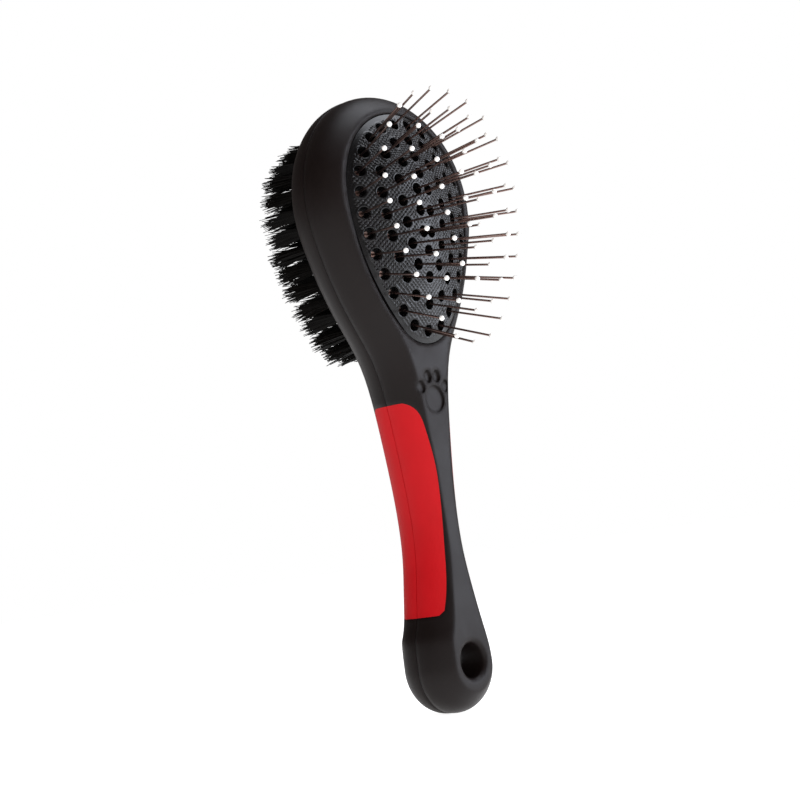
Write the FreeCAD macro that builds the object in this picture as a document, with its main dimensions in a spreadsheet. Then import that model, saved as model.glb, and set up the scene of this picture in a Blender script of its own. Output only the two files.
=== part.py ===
"""Double-sided pet brush: steel pins on an air cushion on one face, bristle tufts on the other.

Frame: +Z runs up the handle towards the head, the pins point to -Y and the bristles to +Y,
and X is the width. The origin is the centre of the hanging hole, on the mid-plane.
"""
import FreeCAD, Part
import math
import os

V = FreeCAD.Vector
FRONT = -1.0   # side of the mid-plane that carries the pins
BACK = 1.0     # side of the mid-plane that carries the bristles

# ---------------------------------------------------------------- driving dimensions, mm
SIZES = {
    "overall_length": 180.0,
    "hole_height": 14.35,         # butt of the handle to the centre of the hanging hole
    "hole_radius": 5.1,
    "hole_lip": 0.7,
    "hole_wall": 2.2,
    "butt_radius": 13.3,
    "head_radius": 32.5,
    "head_depth": 9.65,           # mid-plane to the front face of the head
    "waist_depth": 8.95,          # mid-plane to the front face at the thinnest of the handle
    "waist_height": 60.0,         # butt to the thinnest of the handle
    "waist_reach": 48.0,          # the dip fades out this far above and below the waist
    "side_straight": 1.6,         # the side walls run straight this far from the mid-plane
    "bulge_inset": 18.8,          # semi-axes of the ellipse that rounds them from there
    "bulge_depth": 11.4,
    "wall": 2.4,
    "seam_width": 0.1,            # half the width of the groove where the shells meet
    "seam_deep": 0.15,
    "opening_radius": 25.1,       # upper half of the egg-shaped opening
    "opening_height": 148.2,      # butt to the centre of that upper half
    "opening_drop": 43.0,         # that centre to the opening's lower end
    "opening_tip_radius": 13.4,
    "fit_gap": 0.3,               # between the moving pin field and the fixed pieces
    "pad_crown": 6.6,             # rise of the domed pad above its edge
    "pad_edge": 9.4,              # mid-plane to the dome's edge
    "pad_skin": 2.2,
    "pad_flange_out": 0.4,
    "pad_flange_top": 6.7,
    "pad_flange_thick": 1.5,
    "well_radius": 1.55,
    "well_deep": 1.3,
    "pin_radius": 0.3,
    "pin_clear": 0.03,            # round a pin and its head where they sit in the rubber
    "pin_seat": 2.55,             # pad surface down to the top of the pin's head
    "pin_length": 17.6,           # pad surface to the centre of the tip bead
    "pin_lean_up": 0.82,          # share of the dome's upward slope that the pins follow above
    "pin_lean_down": 1.4,         # the upper half's centre, and below it
    "pin_head_radius": 0.8,
    "pin_head_thick": 0.5,
    "bead_radius": 0.73,
    "ring_margin": 3.8,           # opening edge to the outer ring of pins
    "ring_step": 6.3,
    "ring_rise": 1.2,             # each inner ring of pins sits this much further up
    "pin_pitch": 6.1,
    "tray_out": 2.2,
    "tray_floor": 1.0,
    "tray_thick": 1.2,
    "tray_top": 4.6,
    "tray_lip": 2.0,
    "post_radius": 1.3,
    "plate_flange_out": 0.5,
    "plate_flange_thick": 1.6,
    "plate_face": 9.9,
    "plate_back": 4.6,
    "tuft_root_radius": 1.1,
    "tuft_tip_radius": 1.75,
    "socket_radius": 1.3,
    "tuft_free_length": 16.0,
    "tuft_socket": 3.6,
    "tuft_margin": 3.4,
    "tuft_step": 5.4,
    "tuft_pitch": 5.3,
    "anchor_width": 2.0,
    "anchor_thick": 0.4,
    "anchor_tall": 1.2,
    "grip_thick": 1.1,
    "peg_radius": 1.5,
    "peg_gap": 0.1,
    "peg_reach": 3.0,
    "peg_boss": 1.2,              # wall round a peg's socket
    "peg_end_gap": 0.3,
    "peg_low": 38.0,
    "peg_high": 80.0,
    "paw_height": 89.4,           # butt to the middle of the paw's heel pad
    "paw_face": 9.4,              # mid-plane to the handle's face there
    "paw_deep": 0.6,
    "paw_heel_radius": 4.0,
    "paw_toe_length": 1.9,
    "paw_toe_radius": 1.5,
}

# Half-widths of the handle and neck between the butt's arc and the head's arc: height, width.
NECK = [(26.4, 11.15), (35.2, 9.25), (45.0, 7.6), (62.0, 7.5), (78.3, 9.2), (90.0, 10.9),
        (101.7, 14.1), (113.3, 20.7), (124.4, 26.4), (135.0, 30.3)]
# Edge of a soft grip beside the bare strip, from its lower end up: height, distance from centre.
GRIP_EDGE = [(29.5, 7.3), (39.2, 4.95), (50.0, 3.7), (61.0, 3.3), (71.0, 3.75), (81.0, 5.4),
             (86.4, 7.1), (89.0, 9.8)]
GRIP_FOOT = (28.3, 8.6)   # the same where its lower end turns outwards
# Toe pads of the paw print, x and z from the middle of the heel pad, and their lean in degrees.
PAW_TOES = ((-5.2, 3.6, -14.0), (-1.9, 6.5, -5.0), (1.9, 6.5, 5.0), (5.2, 3.6, 14.0))
DOME_STEPS = (1.0, 0.92, 0.8, 0.64, 0.44, 0.2)   # outline sizes that draw the domed pad
PIN_RINGS = 4
TUFT_RINGS = 4
POSTS = ((27.5, 147.0), (23.4, 128.0))      # places of the tray's posts: x, height from the butt

doc = FreeCAD.newDocument("pet_brush")
sheet = doc.addObject("Spreadsheet::Sheet", "Sizes")
for row, (alias, value) in enumerate(SIZES.items(), start=1):
    sheet.set("A%d" % row, alias)
    sheet.set("B%d" % row, str(value))
    sheet.setAlias("B%d" % row, alias)
doc.recompute()


def size(alias):
    """A driving dimension, read back from the sheet."""
    return float(sheet.get(alias))


def up(height):
    """Z of a height measured from the butt of the handle."""
    return height - size("hole_height")


# ---------------------------------------------------------------- curves
def outline():
    """Front view of the body: butt arc, two flowing sides and head arc, as one wire."""
    butt, head = size("butt_radius"), size("head_radius")
    low, high = up(butt), up(size("overall_length") - head)
    half = [V(butt, 0, low)] + [V(w, 0, up(z)) for z, w in NECK] + [V(head, 0, high)]
    right = Part.BSplineCurve()
    right.interpolate(Points=half, InitialTangent=V(0, 0, 1), FinalTangent=V(0, 0, 1))
    left = Part.BSplineCurve()
    left.interpolate(Points=[V(-p.x, 0, p.z) for p in reversed(half)],
                     InitialTangent=V(0, 0, -1), FinalTangent=V(0, 0, -1))
    top = Part.Arc(V(head, 0, high), V(0, 0, high + head), V(-head, 0, high))
    bottom = Part.Arc(V(-butt, 0, low), V(0, 0, low - butt), V(butt, 0, low))
    return [bottom, right, top, left]


def outline_samples():
    """Points of the outline with the unit normals that point into the body."""
    samples = []
    for curve, count in zip(outline(), (20, 44, 36, 44)):
        edge = curve.toShape()
        for i in range(count):
            at = edge.getParameterByLength(edge.Length * i / count)
            along = edge.tangentAt(at)
            inward = V(-along.z, 0, along.x)
            samples.append((edge.valueAt(at), inward))
    return samples


def bulge(depth):
    """How far the rounded side wall has come in from the seam line at this depth."""
    curved = max(depth - size("side_straight"), 0.0) / size("bulge_depth")
    return size("bulge_inset") * (1 - math.sqrt(1 - curved ** 2))


def level_wire(samples, shift, y):
    """The outline drawn inwards by shift, as a closed smooth wire at the level y."""
    spread = [p + n * shift + V(0, y, 0) for p, n in samples]
    reach = [0.0]
    for (a, _), (b, _) in zip(samples, samples[1:] + samples[:1]):
        reach.append(reach[-1] + (b - a).Length)
    curve = Part.BSplineCurve()
    curve.interpolate(Points=spread, PeriodicFlag=True, Parameters=reach)
    return Part.Wire(curve.toShape())


def body_half(side, inset, top_loss):
    """Half of the brush body, from the seam to its face, shrunk by inset and top_loss."""
    samples = outline_samples()
    top = size("head_depth") - top_loss
    start = size("seam_width")
    steps = 6
    wires = []
    for i in range(steps + 1):
        depth = start + (top - start) * math.sin(math.pi / 2 * i / steps)
        wires.append(level_wire(samples, bulge(depth) + inset, side * depth))
    solid = Part.makeLoft(wires, True, False).cut(waist_cutter(side, top_loss)).Solids[0]
    sole = level_wire(samples, inset + size("seam_deep"), 0)
    return solid.fuse(Part.Face(sole).extrude(V(0, side * start, 0)))


def waist_cutter(side, top_loss):
    """Everything outside the dip of the handle's face, as a bar across the width."""
    deep, dip = size("head_depth") - top_loss, size("waist_depth") - top_loss
    mid, reach = up(size("waist_height")), size("waist_reach")
    out, clear = size("overall_length") / 4, 6.0
    curve = Part.BSplineCurve()
    curve.interpolate(Points=[V(-out, side * deep, mid - reach), V(-out, side * dip, mid),
                              V(-out, side * deep, mid + reach)],
                      InitialTangent=V(0, 0, 1), FinalTangent=V(0, 0, 1))
    corners = [V(-out, side * y, mid + way * reach)
               for y, way in ((deep, 1), (deep + clear, 1), (deep + clear, -1), (deep, -1))]
    edges = [curve.toShape()] + [Part.makeLine(a, b) for a, b in zip(corners, corners[1:])]
    return Part.Face(Part.Wire(edges)).extrude(V(2 * out, 0, 0))


def egg_arcs(grow, y, scale=1.0):
    """The egg-shaped opening's outline at the level y, grown outwards by grow, as four arcs."""
    share = (size("opening_radius") + grow) / size("opening_radius")
    r = scale * (size("opening_radius") + grow)
    t = scale * size("opening_tip_radius") * share
    drop = scale * (size("opening_drop") + grow) - t
    flank = (r ** 2 + drop ** 2 - t ** 2) / (2 * (r - t))
    centre = V(0, y, up(size("opening_height")))
    flank_centre = centre - V(flank - r, 0, 0)
    tip_centre = centre - V(0, 0, drop)
    towards = (tip_centre - flank_centre).normalize()
    start, side_touch = centre + V(r, 0, 0), tip_centre + towards * t
    side_mid = flank_centre + (V(1, 0, 0) + towards).normalize() * flank

    def mirrored(p):
        return V(-p.x, p.y, p.z)

    return [Part.Arc(mirrored(start), centre + V(0, 0, r), start),
            Part.Arc(start, side_mid, side_touch),
            Part.Arc(side_touch, tip_centre - V(0, 0, t), mirrored(side_touch)),
            Part.Arc(mirrored(side_touch), mirrored(side_mid), mirrored(start))]


def egg_wire(grow, y, scale=1.0):
    """The opening's outline as a closed wire."""
    return Part.Wire([arc.toShape() for arc in egg_arcs(grow, y, scale)])


def egg_slab(grow, y_from, y_to):
    """A plate with the opening's outline, between two levels."""
    return Part.Face(egg_wire(grow, y_from)).extrude(V(0, y_to - y_from, 0))


def egg_ring(margin, pitch):
    """Evenly spaced places on an egg that lies margin inside the opening's edge."""
    wire = egg_wire(-margin, 0)
    count = max(3, round(wire.Length / pitch))
    arcs = [arc.toShape() for arc in egg_arcs(-margin, 0)]
    tip_middle = arcs[0].Length + arcs[1].Length + arcs[2].Length / 2
    places = []
    for i in range(count):
        run = (tip_middle + wire.Length * i / count) % wire.Length
        for arc in arcs:
            if run <= arc.Length:
                places.append(arc.valueAt(arc.getParameterByLength(run)))
                break
            run -= arc.Length
    return places


# ---------------------------------------------------------------- the domed pad's surface
def dome_at(x, z):
    """Depth of the domed pad from the mid-plane, and the direction of a pin, at a place."""
    rise = size("pad_crown")
    above = z - up(size("opening_height"))
    across, along, lean = size("opening_radius"), size("opening_radius"), size("pin_lean_up")
    if above < 0:
        along, lean = size("opening_drop"), size("pin_lean_down")
    depth = size("pad_edge") + rise * (1 - (x / across) ** 2 - (above / along) ** 2)
    slope_x, slope_z = 2 * rise * x / across ** 2, 2 * rise * above / along ** 2
    return depth, V(slope_x, -1.0, lean * slope_z).normalize()


def dome_solid(grow, sink, base):
    """The dome as egg outlines of falling size, lofted together over a straight foot."""
    edge = size("pad_edge") - sink
    wires = []
    for share in DOME_STEPS:
        depth = edge + size("pad_crown") * (1 - share ** 2)
        wires.append(egg_wire(grow, FRONT * depth, share))
    return Part.makeLoft(wires, True, False).fuse(egg_slab(grow, FRONT * base, FRONT * edge))


def rod(start, along, length, radius):
    return Part.makeCylinder(radius, length, start, along)


# ---------------------------------------------------------------- document objects
def feature(label, shape):
    """A sub-part whose shape comes from Part's own functions."""
    made = doc.addObject("Part::Feature", label)
    made.Label = label
    made.Shape = shape
    made.Placement = FreeCAD.Placement()
    return made


def cylinder_feature(name, radius, length, placement):
    """A Part cylinder whose radius and length are bound to the sheet."""
    made = doc.addObject("Part::Cylinder", name)
    made.setExpression("Radius", radius)
    made.setExpression("Height", length)
    made.Placement = placement
    return made


def placed_along(start, along):
    """A placement that stands a primitive's Z axis along a direction, from a start point."""
    return FreeCAD.Placement(start, FreeCAD.Rotation(V(0, 0, 1), along))


# ---------------------------------------------------------------- shells and grips
def grip_region(way):
    """Front view of the grip on one side, pushed through the whole thickness of the handle."""
    deep, out = 3 * size("head_depth"), size("head_radius")
    points = [V(way * x, -deep, up(height)) for height, x in GRIP_EDGE]
    inner = Part.BSplineCurve()
    inner.interpolate(points)
    foot = V(way * GRIP_FOOT[1], -deep, up(GRIP_FOOT[0]))
    corners = [points[-1], V(way * out, -deep, points[-1].z), V(way * out, -deep, foot.z), foot,
               points[0]]
    sides = [Part.makeLine(a, b) for a, b in zip(corners, corners[1:])]
    return Part.Face(Part.Wire([inner.toShape()] + sides)).extrude(V(0, 2 * deep, 0))


def paw_cutters():
    """Four toe pads and the heel pad of the paw print, as short bars through the face."""
    floor = size("paw_face") - size("paw_deep")
    reach = 4 * size("paw_deep")
    middle = V(0, FRONT * floor, up(size("paw_height")))
    toe = Part.Face(Part.Wire(Part.Ellipse(V(0, 0, 0), size("paw_toe_length"),
                                           size("paw_toe_radius")).toShape()))
    bars = []
    for x, z, lean in PAW_TOES:
        toe.Placement = FreeCAD.Placement(middle + V(x, 0, z), FreeCAD.Rotation(V(0, 1, 0), lean)
                                          * FreeCAD.Rotation(V(1, 1, 1), -120))
        bars.append(toe.extrude(V(0, FRONT * reach, 0)))
    heel = Part.makeCylinder(size("paw_heel_radius"), reach, middle, V(0, FRONT, 0))
    return bars + [heel]


def hang_hole(side):
    """The hole through one half, its lip opened out by a short cone."""
    radius, lip = size("hole_radius"), size("hole_lip")
    face = size("head_depth")
    bore = Part.makeCylinder(radius, face + 1, V(0, 0, 0), V(0, side, 0))
    flare = Part.makeCone(radius, radius + lip + 1, lip + 1, V(0, side * (face - lip - 0.1), 0),
                          V(0, side, 0))
    return bore.fuse(flare)


def shell_blank(side, grips):
    """A hollow half with its hanging hole, grip recesses and the opening in its head."""
    wall = size("wall")
    outer = body_half(side, 0, 0)
    tube = Part.makeCylinder(size("hole_radius") + size("hole_wall"), size("head_depth"),
                             V(0, 0, 0), V(0, side, 0)).common(outer)
    blank = outer.cut(body_half(side, wall, wall)).fuse(tube).cut(hang_hole(side))
    window = egg_slab(0, side * (size("head_depth") - 2 * wall), side * (size("head_depth") + wall))
    return blank.cut([window] + grips)


def grip_shapes():
    """The soft side grips, right then left: the skin of the handle inside their front view."""
    thick = size("grip_thick")
    handle = body_half(FRONT, 0, 0).fuse(body_half(BACK, 0, 0))
    core = body_half(FRONT, thick, thick).fuse(body_half(BACK, thick, thick))
    skin = handle.cut(core)
    return [skin.common(grip_region(way)).Solids[0] for way in (1, -1)]


def front_shell(grips):
    """Pin-side shell: window for the pad, paw print and two locating pegs."""
    blank = shell_blank(FRONT, grips).cut(paw_cutters())
    root = size("waist_depth") - size("wall") / 4
    for height in ("peg_low", "peg_high"):
        start = V(0, FRONT * root, up(size(height)))
        blank = blank.fuse(rod(start, V(0, BACK, 0), root + size("peg_reach"), size("peg_radius")))
    return blank


def back_shell(grips):
    """Bristle-side shell: window for the bristle plate, peg sockets and posts for the tray."""
    blank = shell_blank(BACK, grips)
    root = size("waist_depth") - size("wall") / 4
    socket = size("peg_radius") + size("peg_gap")
    for height in ("peg_low", "peg_high"):
        foot = V(0, 0, up(size(height)))
        boss = rod(foot, V(0, BACK, 0), root, socket + size("peg_boss"))
        hole = rod(foot, V(0, BACK, 0), size("peg_reach") + size("peg_end_gap"), socket)
        blank = blank.fuse(boss).cut(hole)
    post_root = size("head_depth") - size("wall")
    for x, height in POSTS:
        for way in (-1, 1):
            start = V(way * x, BACK * post_root, up(height))
            blank = blank.fuse(rod(start, V(0, FRONT, 0), post_root + size("tray_floor"),
                                   size("post_radius")))
    return blank


# ---------------------------------------------------------------- pin side
def pin_places():
    """For each ring of pins, the surface points of the pad and the pins' directions."""
    rings = []
    for ring in range(PIN_RINGS):
        places = []
        for spot in egg_ring(size("ring_margin") + ring * size("ring_step"), size("pin_pitch")):
            spot = spot + V(0, 0, ring * size("ring_rise"))
            depth, along = dome_at(spot.x, spot.z)
            places.append((V(spot.x, FRONT * depth, spot.z), along))
        rings.append(places)
    return rings


def cushion_pad(rings):
    """The domed rubber pad: a hollow skin over a clamping flange, with a well at every pin."""
    gap, skin = size("fit_gap"), size("pad_skin")
    top = size("pad_flange_top")
    base = top - size("pad_flange_thick")
    flange = egg_slab(size("pad_flange_out"), FRONT * base, FRONT * top)
    chamber = egg_slab(-gap - skin, FRONT * (base - 1), FRONT * size("pad_edge") * 2)
    inner = dome_solid(-gap, 1.1 * skin, base - 1).common(chamber)
    pad = dome_solid(-gap, 0, base).fuse(flange).cut(inner)
    cutters = []
    clear = size("pin_clear")
    for places in rings:
        for point, normal in places:
            cutters.append(rod(point - normal * size("well_deep"), normal, 2 * skin,
                               size("well_radius")))
            cutters.append(rod(point - normal * 2 * skin, normal, 3 * skin,
                               size("pin_radius") + clear))
            head_top = point - normal * (size("pin_seat") - clear)
            cutters.append(rod(head_top, normal * -1, skin, size("pin_head_radius") + clear))
    return pad.cut(cutters)


def copies(master, places, offset):
    """Copies of a master solid, stood on each place along its normal, as one compound."""
    made = []
    for point, normal in places:
        copy = master.Shape.copy()
        copy.Placement = placed_along(point + normal * offset, normal)
        made.append(copy)
    return Part.makeCompound(made)


def pin_master():
    """One pin: a nail head under the pad's skin and a straight shaft."""
    head = cylinder_feature("pin_head", "Sizes.pin_head_radius", "Sizes.pin_head_thick",
                            FreeCAD.Placement())
    shaft = cylinder_feature("pin_shaft", "Sizes.pin_radius",
                             "Sizes.pin_head_thick + Sizes.pin_seat + Sizes.pin_length",
                             FreeCAD.Placement())
    pin = doc.addObject("Part::Fuse", "pin_master")
    pin.Base, pin.Tool = head, shaft
    return pin


def bead_master():
    """One rounded tip bead, pierced to its middle by the pin's end."""
    ball = doc.addObject("Part::Sphere", "bead_ball")
    ball.setExpression("Radius", "Sizes.bead_radius")
    hole = cylinder_feature("bead_hole", "Sizes.pin_radius", "2 * Sizes.bead_radius",
                            FreeCAD.Placement())
    hole.setExpression("Placement.Base.z", "-2 * Sizes.bead_radius")
    bead = doc.addObject("Part::Cut", "bead_master")
    bead.Base, bead.Tool = ball, hole
    return bead


# ---------------------------------------------------------------- sketched plates
def plane_of(body):
    """The body's own XZ plane."""
    return next(f for f in body.Origin.OriginFeatures if f.Role == "XZ_Plane")


def egg_sketch(body, name, grow, y):
    """A sketch of the egg outline on the body's XZ plane, lifted to the level y."""
    sketch = body.newObject("Sketcher::SketchObject", name)
    sketch.AttachmentSupport = [(plane_of(body), "")]
    sketch.MapMode = "FlatFace"
    sketch.AttachmentOffset = FreeCAD.Placement(V(0, 0, -y), FreeCAD.Rotation())
    flat = FreeCAD.Placement(V(0, 0, 0), FreeCAD.Rotation(V(1, 0, 0), -90))
    for arc in egg_arcs(grow, 0):
        edge = arc.toShape()
        start, mid, end = (flat.multVec(edge.valueAt(edge.getParameterByLength(edge.Length * f)))
                           for f in (0, 0.5, 1))
        sketch.addGeometry(Part.Arc(start, mid, end))
    return sketch


def pad_between(body, name, sketch, length, kind="PartDesign::Pad"):
    """A pad or pocket of a sketch towards the bristle side, its length bound to the sheet."""
    made = body.newObject(kind, name)
    made.Profile = sketch
    made.setExpression("Length", length)
    made.Reversed = kind == "PartDesign::Pad"
    return made


def tray_body():
    """The rigid tray that closes the air chamber behind the pad."""
    body = doc.addObject("PartDesign::Body", "air_tray")
    body.Label = "air_tray"
    outer = egg_sketch(body, "tray_outline", size("tray_out"), FRONT * size("tray_top"))
    pad_between(body, "tray_block", outer, "Sizes.tray_top - Sizes.tray_floor")
    doc.recompute()
    inner = egg_sketch(body, "tray_hollow", size("tray_out") - size("tray_lip"),
                       FRONT * size("tray_top"))
    pad_between(body, "tray_pocket", inner,
                "Sizes.tray_top - Sizes.tray_floor - Sizes.tray_thick", "PartDesign::Pocket")
    return body


def plate_body():
    """The plate that carries the bristle tufts: a plug with a flange behind the rim."""
    body = doc.addObject("PartDesign::Body", "bristle_plate_blank")
    plug = egg_sketch(body, "plate_outline", -0.1, BACK * size("plate_back"))
    pad_between(body, "plate_plug", plug, "Sizes.plate_face - Sizes.plate_back")
    doc.recompute()
    flange = egg_sketch(body, "flange_outline", size("plate_flange_out"),
                        BACK * (size("plate_back") + 0.6))
    pad_between(body, "plate_flange", flange, "Sizes.plate_flange_thick")
    return body


def tuft_places():
    """For each ring of tufts, the places on the plate's face and the outward direction."""
    rings = []
    for ring in range(TUFT_RINGS):
        spots = egg_ring(size("tuft_margin") + ring * size("tuft_step"), size("tuft_pitch"))
        rings.append([(V(p.x, BACK * size("plate_face"), p.z), V(0, BACK, 0)) for p in spots])
    return rings


def tuft_master():
    """One tuft: a bundle that widens from its socket to its tip."""
    tuft = doc.addObject("Part::Cone", "tuft_master")
    tuft.setExpression("Radius1", "Sizes.tuft_root_radius")
    tuft.setExpression("Radius2", "Sizes.tuft_tip_radius")
    tuft.setExpression("Height",
                       "Sizes.tuft_free_length + Sizes.tuft_socket - Sizes.anchor_tall")
    return tuft


def anchor_master():
    """One flat wire anchor that holds a tuft at the bottom of its socket."""
    anchor = doc.addObject("Part::Box", "anchor_master")
    anchor.setExpression("Length", "Sizes.anchor_width")
    anchor.setExpression("Width", "Sizes.anchor_thick")
    anchor.setExpression("Height", "Sizes.anchor_tall")
    return anchor


def anchors(master, rings):
    """An anchor at the bottom of every socket, centred on its tuft."""
    made = []
    for places in rings:
        for point, normal in places:
            copy = master.Shape.copy()
            floor = point - normal * size("tuft_socket")
            copy.Placement = FreeCAD.Placement(
                floor + V(-size("anchor_width") / 2, 0, size("anchor_thick") / 2),
                FreeCAD.Rotation(V(1, 0, 0), -90))
            made.append(copy)
    return Part.makeCompound(made)


# ---------------------------------------------------------------- assembly
def build():
    """Make every sub-part and return them in order."""
    pin, bead, tuft, anchor = pin_master(), bead_master(), tuft_master(), anchor_master()
    tray, plate = tray_body(), plate_body()
    doc.recompute()
    grips = grip_shapes()
    pins, tufts = pin_places(), tuft_places()
    parts = [feature("right_grip", grips[0]), feature("left_grip", grips[1]),
             feature("front_shell", front_shell(grips)),
             feature("back_shell", back_shell(grips)),
             feature("cushion_pad", cushion_pad(pins)), tray]
    below = -size("pin_seat") - size("pin_head_thick")
    for ring, places in enumerate(pins, start=1):
        parts.append(feature("pins_ring_%d" % ring, copies(pin, places, below)))
        parts.append(feature("pin_beads_ring_%d" % ring,
                             copies(bead, places, size("pin_length"))))
    sockets = [rod(point - normal * size("tuft_socket"), normal, size("tuft_socket") + 1,
                   size("socket_radius")) for places in tufts for point, normal in places]
    parts.append(feature("bristle_plate", plate.Shape.cut(sockets)))
    root = size("anchor_tall") - size("tuft_socket")
    for ring, places in enumerate(tufts, start=1):
        parts.append(feature("bristle_tufts_ring_%d" % ring, copies(tuft, places, root)))
    parts.append(feature("tuft_anchors", anchors(anchor, tufts)))
    doc.recompute()
    return parts


def check(parts):
    """Stop if any document object failed or any sub-part is null or not valid."""
    for made in doc.Objects:
        if "Invalid" in made.State or "Error" in made.State:
            raise RuntimeError("%s failed: %s" % (made.Name, made.State))
    for part in parts:
        if part.Shape.isNull() or not part.Shape.isValid():
            raise RuntimeError("%s has no valid shape" % part.Label)


parts = build()
check(parts)
os.makedirs("parts", exist_ok=True)
for part in parts:
    part.Shape.exportStep("parts/%s.step" % part.Label)
    print("%-22s %3d solids %9.1f mm3" % (part.Label, len(part.Shape.Solids), part.Shape.Volume))
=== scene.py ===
"""Looks of a double-sided pet brush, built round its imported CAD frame.

The body shells, grips, pins and beads keep their CAD shapes and get their finishes here. The
domed rubber pad and the bristle tufts are modelled here in full detail. All lengths are metres.
"""

import logging
import math
import random
from dataclasses import dataclass, field
from enum import Enum

import bpy
import numpy as np
from mathutils import Matrix, Vector


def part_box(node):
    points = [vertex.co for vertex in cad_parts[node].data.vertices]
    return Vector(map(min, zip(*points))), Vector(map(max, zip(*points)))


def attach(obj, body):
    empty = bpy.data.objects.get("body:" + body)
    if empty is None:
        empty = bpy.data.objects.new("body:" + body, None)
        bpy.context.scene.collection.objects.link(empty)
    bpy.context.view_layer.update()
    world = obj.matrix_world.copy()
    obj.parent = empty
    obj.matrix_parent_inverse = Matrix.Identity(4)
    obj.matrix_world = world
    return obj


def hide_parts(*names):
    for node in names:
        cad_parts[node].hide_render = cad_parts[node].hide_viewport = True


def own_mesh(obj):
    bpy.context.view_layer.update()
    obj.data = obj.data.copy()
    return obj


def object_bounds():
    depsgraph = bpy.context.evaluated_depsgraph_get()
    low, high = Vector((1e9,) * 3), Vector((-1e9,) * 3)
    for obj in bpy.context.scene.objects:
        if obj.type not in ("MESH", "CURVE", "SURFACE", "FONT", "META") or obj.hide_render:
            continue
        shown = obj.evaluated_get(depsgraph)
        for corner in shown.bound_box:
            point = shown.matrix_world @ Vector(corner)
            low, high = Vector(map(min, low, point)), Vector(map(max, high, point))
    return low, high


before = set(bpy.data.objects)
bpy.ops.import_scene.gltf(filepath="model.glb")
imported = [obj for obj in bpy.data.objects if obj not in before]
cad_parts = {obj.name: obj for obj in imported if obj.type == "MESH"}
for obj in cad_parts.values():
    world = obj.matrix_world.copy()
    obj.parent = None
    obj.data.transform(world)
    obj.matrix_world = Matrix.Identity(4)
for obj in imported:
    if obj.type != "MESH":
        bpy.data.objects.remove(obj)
CAD_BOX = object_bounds()
LOG = logging.getLogger("pet_brush")
MM = 0.001


class Body(Enum):
    """The rigid bodies that pieces ride on."""

    HANDLE = "handle"
    PIN_FIELD = "pin_field"


def srgb(hex_value: str) -> tuple[float, float, float, float]:
    """Turn an sRGB hex colour to the linear values that shaders take.

    Args:
        hex_value: Six hex digits, such as "2e2e30".

    Returns:
        Linear red, green and blue, and an alpha of one.
    """
    parts = (int(hex_value[i:i + 2], 16) / 255 for i in (0, 2, 4))
    linear = [c / 12.92 if c <= 0.04045 else ((c + 0.055) / 1.055) ** 2.4 for c in parts]
    return (linear[0], linear[1], linear[2], 1.0)


def add_node(tree: bpy.types.NodeTree, kind: str, settings: dict | None = None,
             **links: object) -> bpy.types.Node:
    """Add a node with its settings and its links.

    Args:
        tree: The node tree.
        kind: The node's type name.
        settings: Attributes to set, or values of named inputs.
        links: Input name, with _ for a space, to an output socket or a plain value.

    Returns:
        The new node.
    """
    node = tree.nodes.new(kind)
    for name, value in (settings or {}).items():
        if hasattr(node, name):
            setattr(node, name, value)
        else:
            node.inputs[name].default_value = value
    for name, source in links.items():
        socket = node.inputs[name.replace("_", " ")]
        if isinstance(source, bpy.types.NodeSocket):
            tree.links.new(source, socket)
        else:
            socket.default_value = source
    return node


# ------------------------------------------------------------------------------- finishes
@dataclass(frozen=True)
class MouldedFinish:
    """A moulded plastic or rubber surface with a fine spark-eroded grain.

    Attributes:
        name: The material's name.
        colour: Its sRGB hex colour.
        worn: The sRGB hex colour of its slightly lighter patches.
        roughness: Its mean roughness.
        ior: Its index of refraction.
        specular: Its specular level.
        grain: The grain's width in metres.
        depth: The grain's depth in metres.
        patch: The width of the soft patches of lighter colour, in metres.
        edge: Radius that the moulding's edges look rounded to, in metres.
    """

    name: str
    colour: str
    worn: str
    roughness: float
    ior: float = 1.49
    specular: float = 0.5
    grain: float = 0.22 * MM
    depth: float = 0.02 * MM
    patch: float = 14 * MM
    edge: float = 0.0

    def make(self) -> bpy.types.Material:
        """Build the node material.

        Returns:
            The material.
        """
        material = bpy.data.materials.new(self.name)
        material.use_nodes = True
        tree = material.node_tree
        tree.nodes.clear()
        place = add_node(tree, "ShaderNodeTexCoord").outputs["Object"]
        patches = add_node(tree, "ShaderNodeTexNoise",
                           {"Scale": 1 / self.patch, "Detail": 3.0, "Roughness": 0.55},
                           Vector=place)
        spread = add_node(tree, "ShaderNodeMapRange",
                          {"From Min": 0.35, "From Max": 0.7}, Value=patches.outputs["Fac"])
        tone = add_node(tree, "ShaderNodeMix", {"data_type": "RGBA"})
        tree.links.new(spread.outputs["Result"], tone.inputs["Factor"])
        tone.inputs[6].default_value = srgb(self.colour)
        tone.inputs[7].default_value = srgb(self.worn)
        grain = add_node(tree, "ShaderNodeTexNoise",
                         {"Scale": 1 / self.grain, "Detail": 2.0, "Roughness": 0.6},
                         Vector=place)
        gloss = add_node(tree, "ShaderNodeMapRange",
                         {"From Min": 0.3, "From Max": 0.7, "To Min": self.roughness - 0.05,
                          "To Max": self.roughness + 0.06}, Value=patches.outputs["Fac"])
        bump = add_node(tree, "ShaderNodeBump", {"Strength": 1.0, "Distance": self.depth},
                        Height=grain.outputs["Fac"])
        if self.edge:
            soft = add_node(tree, "ShaderNodeBevel", {"samples": 8, "Radius": self.edge})
            tree.links.new(soft.outputs["Normal"], bump.inputs["Normal"])
        shader = add_node(tree, "ShaderNodeBsdfPrincipled",
                          {"IOR": self.ior, "Specular IOR Level": self.specular},
                          Base_Color=tone.outputs[2], Roughness=gloss.outputs["Result"],
                          Normal=bump.outputs["Normal"])
        add_node(tree, "ShaderNodeOutputMaterial", None, Surface=shader.outputs["BSDF"])
        return material


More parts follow.
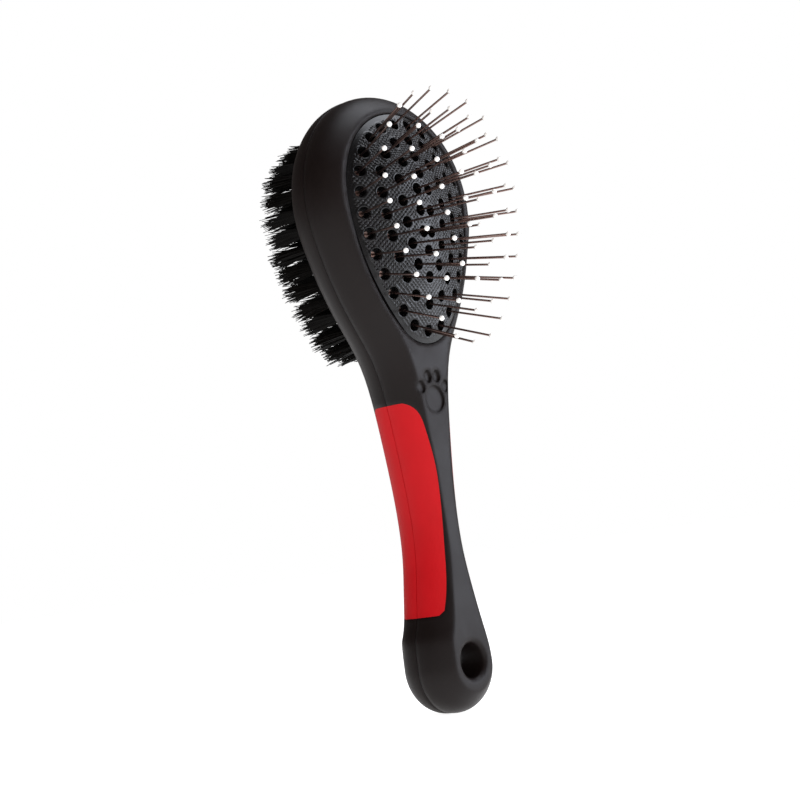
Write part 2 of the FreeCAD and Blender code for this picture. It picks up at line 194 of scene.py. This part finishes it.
@dataclass(frozen=True)
class WireFinish:
    """Drawn steel wire, darkened by its oil and heat, in warmer stretches of varying roughness.

    Attributes:
        name: The material's name.
        colour: Its sRGB hex colour.
        tint: The sRGB hex colour of its warmer stretches.
        roughness: Its mean roughness.
        patch: The length of the warmer stretches, in metres.
    """

    name: str
    colour: str
    tint: str
    roughness: float
    patch: float = 5 * MM

    def make(self) -> bpy.types.Material:
        """Build the node material.

        Returns:
            The material.
        """
        material = bpy.data.materials.new(self.name)
        material.use_nodes = True
        tree = material.node_tree
        tree.nodes.clear()
        place = add_node(tree, "ShaderNodeTexCoord").outputs["Object"]
        heat = add_node(tree, "ShaderNodeTexNoise", {"Scale": 1 / self.patch, "Detail": 2.0},
                        Vector=place)
        tone = add_node(tree, "ShaderNodeMix", {"data_type": "RGBA"})
        tree.links.new(heat.outputs["Fac"], tone.inputs["Factor"])
        tone.inputs[6].default_value = srgb(self.colour)
        tone.inputs[7].default_value = srgb(self.tint)
        streak = add_node(tree, "ShaderNodeMapRange",
                          {"To Min": self.roughness - 0.08, "To Max": self.roughness + 0.1},
                          Value=heat.outputs["Fac"])
        shader = add_node(tree, "ShaderNodeBsdfPrincipled", {"Metallic": 1.0},
                          Base_Color=tone.outputs[2], Roughness=streak.outputs["Result"])
        add_node(tree, "ShaderNodeOutputMaterial", None, Surface=shader.outputs["BSDF"])
        return material


# Black ABS from a spark-eroded mould: dark, with broad soft highlights and no mirror gloss.
SHELL_ABS = MouldedFinish("matte_abs_shell", "120c0b", "150f0e", 0.44, specular=0.19,
                          depth=0.03 * MM, edge=2.2 * MM)
# Red soft TPR: deep even colour, a little duller than the shell beside it.
GRIP_TPR = MouldedFinish("soft_tpr_grip", "b80912", "c00c16", 0.5, ior=1.5, specular=0.2,
                         grain=0.3 * MM, depth=0.03 * MM)
# Moulded natural rubber: black, and glossy enough for each raised dot to catch the light.
PAD_RUBBER = MouldedFinish("moulded_rubber_pad", "080809", "0c0c0d", 0.24, ior=1.52,
                           specular=0.3, depth=0.01 * MM)
# Polypropylene plate and tray: a waxy dark grey-black.
PLATE_PP = MouldedFinish("moulded_pp_plate", "141415", "1a1a1b", 0.5)
# Drawn nylon filament: near black, each strand with a thin dull highlight.
BRISTLE_NYLON = MouldedFinish("drawn_nylon_bristle", "050403", "0a0806", 0.55, ior=1.53,
                              specular=0.1, grain=0.1 * MM, depth=0.004 * MM, patch=2 * MM)
# Resin-dipped bead: bright white and glossy.
BEAD_RESIN = MouldedFinish("dipped_resin_bead", "f6f5f1", "fdfcf9", 0.22, ior=1.5,
                           grain=0.5 * MM, depth=0.002 * MM, patch=3 * MM)
# Oil-darkened drawn steel: brownish, with bright streaks where it faces the light.
PIN_STEEL = WireFinish("drawn_steel_pin", "93857f", "8f6a60", 0.3)
# Flat steel strip, cut and pressed in: plain grey metal.
ANCHOR_STEEL = WireFinish("flat_steel_anchor", "9c9a96", "8d8a85", 0.35)


# ------------------------------------------------------------------------------- modelling
def fresh_selection() -> None:
    """Leave edit mode and deselect everything."""
    if bpy.context.object and bpy.context.object.mode != "OBJECT":
        bpy.ops.object.mode_set(mode="OBJECT")
    bpy.ops.object.select_all(action="DESELECT")


def points_of(piece: bpy.types.Object) -> np.ndarray:
    """Read the vertices of a piece.

    Args:
        piece: A mesh object.

    Returns:
        One row of x, y, z for each vertex.
    """
    flat = np.empty(len(piece.data.vertices) * 3)
    piece.data.vertices.foreach_get("co", flat)
    return flat.reshape(-1, 3)


def set_points(piece: bpy.types.Object, points: np.ndarray) -> None:
    """Move the vertices of a piece.

    Args:
        piece: A mesh object.
        points: One row of x, y, z for each vertex.
    """
    piece.data.vertices.foreach_set("co", np.ascontiguousarray(points).ravel())
    piece.data.update()


def settle(piece: bpy.types.Object, name: str, material: bpy.types.Material) -> None:
    """Apply a piece's place, name it, smooth it and give it its one material.

    Args:
        piece: The finished mesh object.
        name: Its name.
        material: Its material.
    """
    fresh_selection()
    piece.select_set(True)
    bpy.context.view_layer.objects.active = piece
    bpy.ops.object.transform_apply(location=True, rotation=True, scale=True)
    piece.name = name
    piece.data.name = name
    piece.data.materials.clear()
    piece.data.materials.append(material)
    bpy.ops.object.shade_smooth_by_angle(angle=math.radians(40))


def dress(node: str, material: bpy.types.Material) -> None:
    """Give a CAD node a material.

    Args:
        node: The node's name.
        material: Its material.
    """
    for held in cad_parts[node].material_slots:
        held.material = material


@dataclass
class Egg:
    """The egg-shaped outline of the head's windows, of four arcs that run into each other.

    Attributes:
        radius: Radius of the round upper half.
        drop: From that half's centre to the lower end.
        tip: Radius of the lower end.
        centre: Height of the upper half's centre.
    """

    radius: float
    drop: float
    tip: float
    centre: float

    def reach(self, angle: np.ndarray) -> np.ndarray:
        """Distance from the centre to the outline.

        Args:
            angle: Angles from +X towards +Z, in radians.

        Returns:
            The distance at each angle.
        """
        fall = self.drop - self.tip
        flank = (self.radius ** 2 + fall ** 2 - self.tip ** 2) / (2 * (self.radius - self.tip))
        shift = flank - self.radius
        across, along = np.abs(np.cos(angle)), np.sin(angle)
        side = -shift * across + np.sqrt(flank ** 2 - (shift * along) ** 2)
        under = np.maximum(self.tip ** 2 - (fall * across) ** 2, 0.0)
        end = -fall * along + np.sqrt(under)
        touch = math.atan2(-(fall + self.tip * fall / math.hypot(shift, fall)),
                           self.tip * shift / math.hypot(shift, fall))
        folded = np.arctan2(along, across)
        return np.where(folded >= 0, self.radius, np.where(folded > touch, side, end))


# ------------------------------------------------------------------------------- the pad
@dataclass
class CushionPad:
    """The domed rubber pad with a round well at each pin and a field of fine raised dots.

    Attributes:
        radius: Radius of the window's upper half, less the gap round the pad.
        drop: From that half's centre to the window's lower end, less the gap.
        tip: Radius of the window's lower end.
        edge: Depth of the dome's edge in front of the mid-plane.
        crown: Rise of the dome above its edge.
        window_radius: Radius of the window's upper half.
        window_drop: From that half's centre to the window's lower end.
        flange_out: How far the pad's hidden flange reaches past the window.
        pin_length: Pad surface to the centre of a bead.
        lean_up: A pin's lean above the centre, as a share of the dome's slope.
        lean_down: The same below the centre.
        well: Radius of a well.
        well_deep: Depth of a well.
        well_floor: Radius of a well's flat floor, as a share of its mouth's.
        snap: Points this near to a well's mouth or floor edge are drawn onto it.
        collar: Height of the raised lip round a well.
        dot_pitch: Spacing of the raised dots.
        dot_height: Height of a dot.
        bare_edge: Width of the plain border inside the pad's edge.
        edge_drop: Depth of the short straight wall under the pad's edge.
        columns: Faces across the pad.
        rows: Faces along the pad.
    """

    radius: float = 24.8 * MM
    drop: float = 42.7 * MM
    tip: float = 13.24 * MM
    edge: float = 9.4 * MM
    crown: float = 6.6 * MM
    window_radius: float = 25.1 * MM
    window_drop: float = 43.0 * MM
    flange_out: float = 0.4 * MM
    pin_length: float = 17.6 * MM
    lean_up: float = 0.82
    lean_down: float = 1.4
    well: float = 1.65 * MM
    well_deep: float = 2.8 * MM
    well_floor: float = 0.9
    snap: float = 0.11 * MM
    collar: float = 0.12 * MM
    dot_pitch: float = 1.0 * MM
    dot_height: float = 0.3 * MM
    bare_edge: float = 1.3 * MM
    edge_drop: float = 0.5 * MM
    columns: int = 236
    rows: int = 330
    egg: Egg = field(init=False)

    def __post_init__(self) -> None:
        """Read the window's height from the CAD pad's box."""
        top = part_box("cushion_pad")[1].z
        centre = top - self.window_radius - self.flange_out
        self.egg = Egg(self.radius, self.drop, self.tip, centre)

    def dome(self, x: np.ndarray, z: np.ndarray) -> tuple[np.ndarray, np.ndarray]:
        """The dome's depth and outward direction.

        Args:
            x: Places across.
            z: Places along.

        Returns:
            The depth in front of the mid-plane, and unit normals as rows.
        """
        above = z - self.egg.centre
        along = np.where(above < 0, self.window_drop, self.window_radius)
        depth = self.edge + self.crown * (1 - (x / self.window_radius) ** 2 - (above / along) ** 2)
        normal = np.stack([2 * self.crown * x / self.window_radius ** 2, -np.ones_like(x),
                           2 * self.crown * above / along ** 2], axis=-1)
        return depth, normal / np.linalg.norm(normal, axis=-1, keepdims=True)

    def pin_feet(self) -> np.ndarray:
        """Where each pin leaves the pad, worked back from the beads of the CAD frame.

        Returns:
            One row of x, y, z for each pin.
        """
        beads = np.array(bead_centres())
        feet = beads.copy()
        for _ in range(12):
            _, way = self.dome(feet[:, 0], feet[:, 2])
            way[:, 2] *= np.where(feet[:, 2] < self.egg.centre, self.lean_down, self.lean_up)
            way /= np.linalg.norm(way, axis=1, keepdims=True)
            feet = beads - way * self.pin_length
        return feet

    def model(self) -> bpy.types.Object:
        """Model the pad from a fine grid that is shaped to the egg, raised and sunk.

        Returns:
            The closed pad.
        """
        fresh_selection()
        bpy.ops.mesh.primitive_grid_add(x_subdivisions=self.columns, y_subdivisions=self.rows,
                                        size=2.0)
        piece = bpy.context.object
        square = points_of(piece)
        u, v = square[:, 0], square[:, 1]
        disc_x, disc_z = u * np.sqrt(1 - v ** 2 / 2), v * np.sqrt(1 - u ** 2 / 2)
        angle = np.arctan2(disc_z, disc_x)
        share = np.hypot(disc_x, disc_z)
        reach = self.egg.reach(angle)
        x = share * reach * np.cos(angle)
        z = self.egg.centre + share * reach * np.sin(angle)
        inside = (1 - share) * reach
        feet = self.pin_feet()
        gap, nearest = self.nearest_well(x, z, feet)
        x, z = self.snap_to_rims(x, z, gap, feet[nearest])
        gap = np.hypot(x - feet[nearest, 0], z - feet[nearest, 2])
        depth, normal = self.dome(x, z)
        lift = self.dots(x, z, gap, inside) + self.wells(gap)
        base = np.stack([x, -depth, z], axis=-1)
        set_points(piece, base + normal * lift[:, None])
        self.close()
        return piece

    @staticmethod
    def nearest_well(x: np.ndarray, z: np.ndarray,
                     feet: np.ndarray) -> tuple[np.ndarray, np.ndarray]:
        """Find the pin nearest to each point.

        Args:
            x: Places across.
            z: Places along.
            feet: One row of x, y, z for each pin.

        Returns:
            The distance to the nearest pin, and that pin's row.
        """
        gap = np.full(x.shape, np.inf)
        nearest = np.zeros(x.shape, int)
        for i, foot in enumerate(feet):
            here = np.hypot(x - foot[0], z - foot[2])
            closer = here < gap
            gap[closer], nearest[closer] = here[closer], i
        return gap, nearest

    def snap_to_rims(self, x: np.ndarray, z: np.ndarray, gap: np.ndarray,
                     feet: np.ndarray) -> tuple[np.ndarray, np.ndarray]:
        """Draw points that lie close to a well's mouth or floor edge onto it, so it is round.

        Args:
            x: Places across.
            z: Places along.
            gap: Distance to the nearest pin.
            feet: That pin's foot, a row for each point.

        Returns:
            The new places across and along.
        """
        for ring in (self.well, self.well_floor * self.well):
            near = np.abs(gap - ring) < self.snap
            scale = np.where(near, ring / np.maximum(gap, 1e-9), 1.0)
            x = feet[:, 0] + (x - feet[:, 0]) * scale
            z = feet[:, 2] + (z - feet[:, 2]) * scale
            gap = np.hypot(x - feet[:, 0], z - feet[:, 2])
        return x, z

    def wells(self, gap: np.ndarray) -> np.ndarray:
        """Lift of the surface round the wells: sunk inside, a low collar just outside.

        Args:
            gap: Distance to the nearest pin.

        Returns:
            The lift at each point, below zero in a well.
        """
        wall = np.clip((self.well - gap) / ((1 - self.well_floor) * self.well), 0, 1)
        lip = np.exp(-((gap - 1.18 * self.well) / (0.16 * self.well)) ** 2)
        return self.collar * lip * (gap > self.well) - self.well_deep * wall

    def dots(self, x: np.ndarray, z: np.ndarray, gap: np.ndarray,
             inside: np.ndarray) -> np.ndarray:
        """Lift of the raised dots, which stand on a lattice turned by 45 degrees.

        Args:
            x: Places across.
            z: Places along.
            gap: Distance to the nearest pin.
            inside: Distance from the pad's edge.

        Returns:
            The lift at each point, nothing round the wells and along the edge.
        """
        a = (x + z) / self.dot_pitch * math.pi / math.sqrt(2) * 2
        b = (x - z) / self.dot_pitch * math.pi / math.sqrt(2) * 2
        bump = np.clip((np.cos(a) + np.cos(b)) / 2 - 0.05, 0, 1) ** 0.8
        clear = np.clip((gap - 1.28 * self.well) / (0.3 * MM), 0, 1)
        border = np.clip((inside - self.bare_edge) / (0.4 * MM), 0, 1)
        return self.dot_height * bump * clear * border

    def close(self) -> None:
        """Extrude the active pad's edge down into its window and close it behind."""
        bpy.ops.object.mode_set(mode="EDIT")
        bpy.ops.mesh.select_mode(type="EDGE")
        bpy.ops.mesh.select_all(action="DESELECT")
        bpy.ops.mesh.select_non_manifold(extend=False)
        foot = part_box("cushion_pad")[1].y
        for step in (self.edge_drop, foot + self.edge - self.edge_drop):
            bpy.ops.mesh.extrude_region_move(TRANSFORM_OT_translate={"value": (0, step, 0)})
        bpy.ops.mesh.fill()
        bpy.ops.mesh.select_all(action="SELECT")
        bpy.ops.mesh.normals_make_consistent(inside=False)
        bpy.ops.object.mode_set(mode="OBJECT")


def group_middles(points: np.ndarray, reach: float) -> list[np.ndarray]:
    """Gather points that lie near each other and find the middle of each group's box.

    Args:
        points: One row of x, y, z for each point.
        reach: How far a point may lie from the first one of its group.

    Returns:
        The middle of each group.
    """
    groups: list[list[np.ndarray]] = []
    for point in points:
        for group in groups:
            if np.linalg.norm(group[0] - point) < reach:
                group.append(point)
                break
        else:
            groups.append([point])
    spots = [np.array(group) for group in groups]
    return [(spot.min(axis=0) + spot.max(axis=0)) / 2 for spot in spots]


def bead_centres() -> list[np.ndarray]:
    """Centres of the pin beads, gathered from the loose triangles of their CAD nodes.

    Returns:
        The centre of each bead.
    """
    centres: list[np.ndarray] = []
    for name, node in sorted(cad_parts.items()):
        if name.startswith("pin_beads_ring"):
            centres += group_middles(points_of(node), reach=2.0 * MM)
    return centres


# ------------------------------------------------------------------------------- bristles
@dataclass
class BristleTufts:
    """Rings of bristle tufts, each tuft a bundle of fine nylon filaments with ragged tips.

    Attributes:
        filaments: Filaments in a tuft.
        thickness: Radius of a filament at its root.
        root: Radius of the bundle at the plate.
        spread: Radius of the bundle at its tips.
        length: Free length of the longest filaments.
        ragged: How much shorter the shortest filaments are.
        splay: Outward lean of a tuft that stands splay_at from the plate's middle.
        splay_at: Distance from the middle at which a tuft leans by splay.
        sunk: Length hidden in the socket.
        variants: Different tufts that are modelled before copying.
        seed: Start of the random draws.
        cuts: Where a filament of unit length is cut, from its middle, so that it can bow.
        stray: Scatter of a filament's tip.
        bow: Scatter of a filament's bend at half its length.
        tilt: Scatter of a tuft's lean.
    """

    filaments: int = 96
    thickness: float = 0.18 * MM
    root: float = 1.05 * MM
    spread: float = 2.45 * MM
    length: float = 16.3 * MM
    splay: float = 0.05
    splay_at: float = 22 * MM
    ragged: float = 2.6 * MM
    sunk: float = 1.5 * MM
    variants: int = 6
    seed: int = 11
    cuts: tuple[float, ...] = (-0.25, 0.05, 0.3, 0.44)
    stray: float = 0.35 * MM
    bow: float = 0.25 * MM
    tilt: float = 0.02

    def filament(self) -> bpy.types.Object:
        """Model one straight filament along +Z.

        Returns:
            The filament, cut into short lengths so that it can bow.
        """
        fresh_selection()
        bpy.ops.mesh.primitive_cylinder_add(vertices=4, radius=1.0, depth=1.0,
                                            end_fill_type="NGON")
        master = bpy.context.object
        bpy.ops.object.mode_set(mode="EDIT")
        for height in self.cuts:
            bpy.ops.mesh.select_all(action="SELECT")
            bpy.ops.mesh.bisect(plane_co=(0, 0, height), plane_no=(0, 0, 1))
        bpy.ops.object.mode_set(mode="OBJECT")
        return master

    def tuft(self, master: bpy.types.Object, rng: random.Random) -> bpy.types.Object:
        """Bundle copies of the filament into one tuft that stands on the origin along +Z.

        Args:
            master: The filament.
            rng: The random draws.

        Returns:
            The tuft.
        """
        shape = points_of(master)
        share = shape[:, 2] + 0.5
        copies = []
        for i in range(self.filaments):
            ring = math.sqrt((i + 0.5) / self.filaments)
            turn = i * math.pi * (3 - math.sqrt(5))
            foot = np.array([math.cos(turn), math.sin(turn)]) * ring * self.root
            lean = np.array([math.cos(turn), math.sin(turn)]) * ring * self.spread
            lean += np.array([rng.gauss(0, self.stray), rng.gauss(0, self.stray)])
            tall = self.length + self.sunk - self.ragged * rng.random() ** 1.7
            bow = np.array([rng.gauss(0, self.bow), rng.gauss(0, self.bow)])
            thin = self.thickness * rng.uniform(0.8, 1.15)
            points = np.empty_like(shape)
            taper = np.where(share > 0.9, 0.55, 1.0 - 0.2 * share)
            path = foot + (lean - foot) * share[:, None] ** 1.3
            path = path + bow * (np.sin(math.pi * share))[:, None]
            points[:, :2] = path + shape[:, :2] * (thin * taper)[:, None]
            points[:, 2] = share * tall
            copy = bpy.data.objects.new("filament", master.data.copy())
            bpy.context.collection.objects.link(copy)
            set_points(copy, points)
            copies.append(copy)
        return join(copies, "tuft_variant")

    def build(self, material: bpy.types.Material) -> list[bpy.types.Object]:
        """Model the tufts of every ring in place of the CAD nodes.

        Args:
            material: The bristles' material.

        Returns:
            One piece for each ring.
        """
        rng = random.Random(self.seed)
        master = self.filament()
        variants = [self.tuft(master, rng) for _ in range(self.variants)]
        rings = sorted(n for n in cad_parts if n.startswith("bristle_tufts_ring"))
        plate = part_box("bristle_plate")
        middle = (plate[0].z + plate[1].z) / 2
        pieces = []
        for node in rings:
            made = []
            for place in tuft_feet(node):
                source = rng.choice(variants)
                copy = bpy.data.objects.new("tuft", source.data.copy())
                bpy.context.collection.objects.link(copy)
                turn = Matrix.Rotation(rng.uniform(0, math.tau), 4, "Z")
                lean = Vector((place.x, 0, place.z - middle)) * self.splay / self.splay_at
                lean += Vector((rng.gauss(0, self.tilt), 1, rng.gauss(0, self.tilt)))
                stand = Vector((0, 0, 1)).rotation_difference(lean).to_matrix().to_4x4()
                copy.data.transform(Matrix.Translation(place) @ stand @ turn)
                made.append(copy)
            piece = join(made, node + "_filaments")
            settle(piece, node + "_filaments", material)
            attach(piece, Body.HANDLE.value)
            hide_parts(node)
            pieces.append(piece)
        for spare in [master] + variants:
            bpy.data.objects.remove(spare)
        return pieces


def join(parts: list[bpy.types.Object], name: str) -> bpy.types.Object:
    """Join objects into one.

    Args:
        parts: The objects.
        name: The joined object's name.

    Returns:
        The joined object.
    """
    fresh_selection()
    for part in parts:
        part.select_set(True)
    bpy.context.view_layer.objects.active = parts[0]
    bpy.ops.object.join()
    parts[0].name = name
    return parts[0]


def tuft_feet(node: str) -> list[Vector]:
    """Where the tufts of a ring leave the plate, read from the CAD tufts' root ends.

    Args:
        node: The ring's CAD node.

    Returns:
        A place for each tuft, below the plate's face by the length hidden in the socket.
    """
    points = points_of(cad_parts[node])
    low = points[:, 1].min()
    roots = points[points[:, 1] < low + 0.05 * MM]
    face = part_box("bristle_plate")[1].y
    return [Vector((middle[0], face - BristleTufts.sunk, middle[2]))
            for middle in group_middles(roots, reach=2.6 * MM)]


# ------------------------------------------------------------------------------- stage
@dataclass
class Studio:
    """Pale floor, soft light and the camera.

    Attributes:
        aim_height: Height of the point that the camera is aimed at.
        distance: Camera to that point.
        azimuth: Camera's direction from the front towards -X, in degrees.
        elevation: Camera's height above the horizon, in degrees.
        roll: Turn of the picture, in degrees.
        lens: Focal length in millimetres.
        shift: Shift of the picture, in widths.
        floor_size: Side of the floor.
        floor_gap: Gap under the brush's lowest point.
        floor_glow: Light that the floor gives off by itself, so that it stays white far away.
        fill: Strength of the surround's light.
    """

    aim_height: float = 75.65 * MM
    distance: float = 500 * MM
    azimuth: float = 48.94
    elevation: float = -4.82
    roll: float = -8.19
    lens: float = 77.55
    shift: tuple[float, float] = (-0.01345, 0.0024)
    floor_size: float = 8.0
    floor_gap: float = 0.02 * MM
    floor_glow: float = 0.93
    fill: float = 0.12

    def camera(self) -> None:
        """Place the camera."""
        a, e, r = (math.radians(v) for v in (self.azimuth, self.elevation, self.roll))
        back = Vector((-math.sin(a) * math.cos(e), -math.cos(a) * math.cos(e), math.sin(e)))
        level = Vector((math.cos(a), -math.sin(a), 0))
        above = back.cross(level)
        right = level * math.cos(r) + above * math.sin(r)
        top = above * math.cos(r) - level * math.sin(r)
        data = bpy.data.cameras.new("camera")
        data.lens, data.sensor_width = self.lens, 36.0
        data.shift_x, data.shift_y = self.shift
        data.clip_start, data.clip_end = 0.01, 20.0
        eye = bpy.data.objects.new("camera", data)
        place = Vector((0, 0, self.aim_height)) + back * self.distance
        turn = Matrix((right, top, back)).transposed()
        eye.matrix_world = Matrix.Translation(place) @ turn.to_4x4()
        bpy.context.collection.objects.link(eye)
        bpy.context.scene.camera = eye

    def light(self, name: str, place: tuple[float, float, float], power: float,
              width: float, colour: str = "ffffff", gloss: bool = True) -> None:
        """Add one square soft light that faces the head.

        Args:
            name: The light's name.
            place: Where it stands.
            power: Its power in watts.
            width: Its side.
            colour: Its sRGB hex colour.
            gloss: Whether it shows as a highlight.
        """
        data = bpy.data.lights.new(name, "AREA")
        data.energy, data.size = power, width
        data.color = srgb(colour)[:3]
        lamp = bpy.data.objects.new(name, data)
        lamp.visible_glossy = gloss
        lamp.location = place
        away = Vector(place) - Vector((0, 0, self.aim_height))
        lamp.rotation_euler = away.to_track_quat("Z", "Y").to_euler()
        bpy.context.collection.objects.link(lamp)

    def floor(self) -> None:
        """Lay a pale floor under the brush's lowest point."""
        fresh_selection()
        bpy.ops.mesh.primitive_grid_add(x_subdivisions=8, y_subdivisions=8, size=self.floor_size,
                                        location=(0, 0, CAD_BOX[0].z - self.floor_gap))
        floor = bpy.context.object
        finish = MouldedFinish("pale_paper_floor", "f4f4f2", "f6f6f4", 0.85, specular=0.1,
                               grain=1.5 * MM, depth=0.01 * MM, patch=90 * MM)
        paper = finish.make()
        shader = next(n for n in paper.node_tree.nodes if n.type == "BSDF_PRINCIPLED")
        shader.inputs["Emission Color"].default_value = srgb("ffffff")
        shader.inputs["Emission Strength"].default_value = self.floor_glow
        settle(floor, "floor", paper)

    def sky(self) -> None:
        """Make a white surround that the camera sees, and a dimmer one that lights the brush."""
        world = bpy.data.worlds.new("studio")
        bpy.context.scene.world = world
        world.use_nodes = True
        tree = world.node_tree
        tree.nodes.clear()
        seen = add_node(tree, "ShaderNodeBackground", {"Color": srgb("ffffff"), "Strength": 1.0})
        soft = add_node(tree, "ShaderNodeBackground",
                        {"Color": srgb("fff0ea"), "Strength": self.fill})
        path = add_node(tree, "ShaderNodeLightPath")
        both = add_node(tree, "ShaderNodeMixShader")
        tree.links.new(path.outputs["Is Camera Ray"], both.inputs["Fac"])
        tree.links.new(soft.outputs[0], both.inputs[1])
        tree.links.new(seen.outputs[0], both.inputs[2])
        add_node(tree, "ShaderNodeOutputWorld", None, Surface=both.outputs[0])

    def build(self) -> None:
        """Make the whole stage."""
        self.camera()
        self.sky()
        self.floor()
        self.light("key", (0.72, -0.75, 0.22), 8.4, 0.6, "ecf2ff")
        self.light("front", (-0.6, -0.7, 0.25), 3.0, 0.6, "fff6f2", gloss=False)
        self.light("top", (0.45, -0.3, 1.1), 9.0, 0.8, "f2f6ff")
        bpy.context.scene.view_settings.view_transform = "Standard"


def dress_frame() -> None:
    """Give every CAD node that stays its finish."""
    finishes = {
        "front_shell": SHELL_ABS, "back_shell": SHELL_ABS, "left_grip": GRIP_TPR,
        "right_grip": GRIP_TPR, "air_tray": PLATE_PP, "bristle_plate": PLATE_PP,
        "tuft_anchors": ANCHOR_STEEL,
    }
    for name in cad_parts:
        if name.startswith("pins_ring"):
            finishes[name] = PIN_STEEL
        if name.startswith("pin_beads"):
            finishes[name] = BEAD_RESIN
    made = {finish: finish.make() for finish in set(finishes.values())}
    for name, finish in finishes.items():
        dress(name, made[finish])
        LOG.info("%s: %s", name, finish.name)


def main() -> None:
    """Build the brush's looks piece by piece."""
    logging.basicConfig(level=logging.INFO, format="%(message)s")
    dress_frame()
    pad = CushionPad().model()
    settle(pad, "cushion_pad_domed", PAD_RUBBER.make())
    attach(pad, Body.HANDLE.value)
    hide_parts("cushion_pad")
    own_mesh(pad)
    LOG.info("pad: %d faces", len(pad.data.polygons))
    for piece in BristleTufts().build(BRISTLE_NYLON.make()):
        LOG.info("%s: %d faces", piece.name, len(piece.data.polygons))
    Studio().build()


if __name__ == "__main__":
    main()
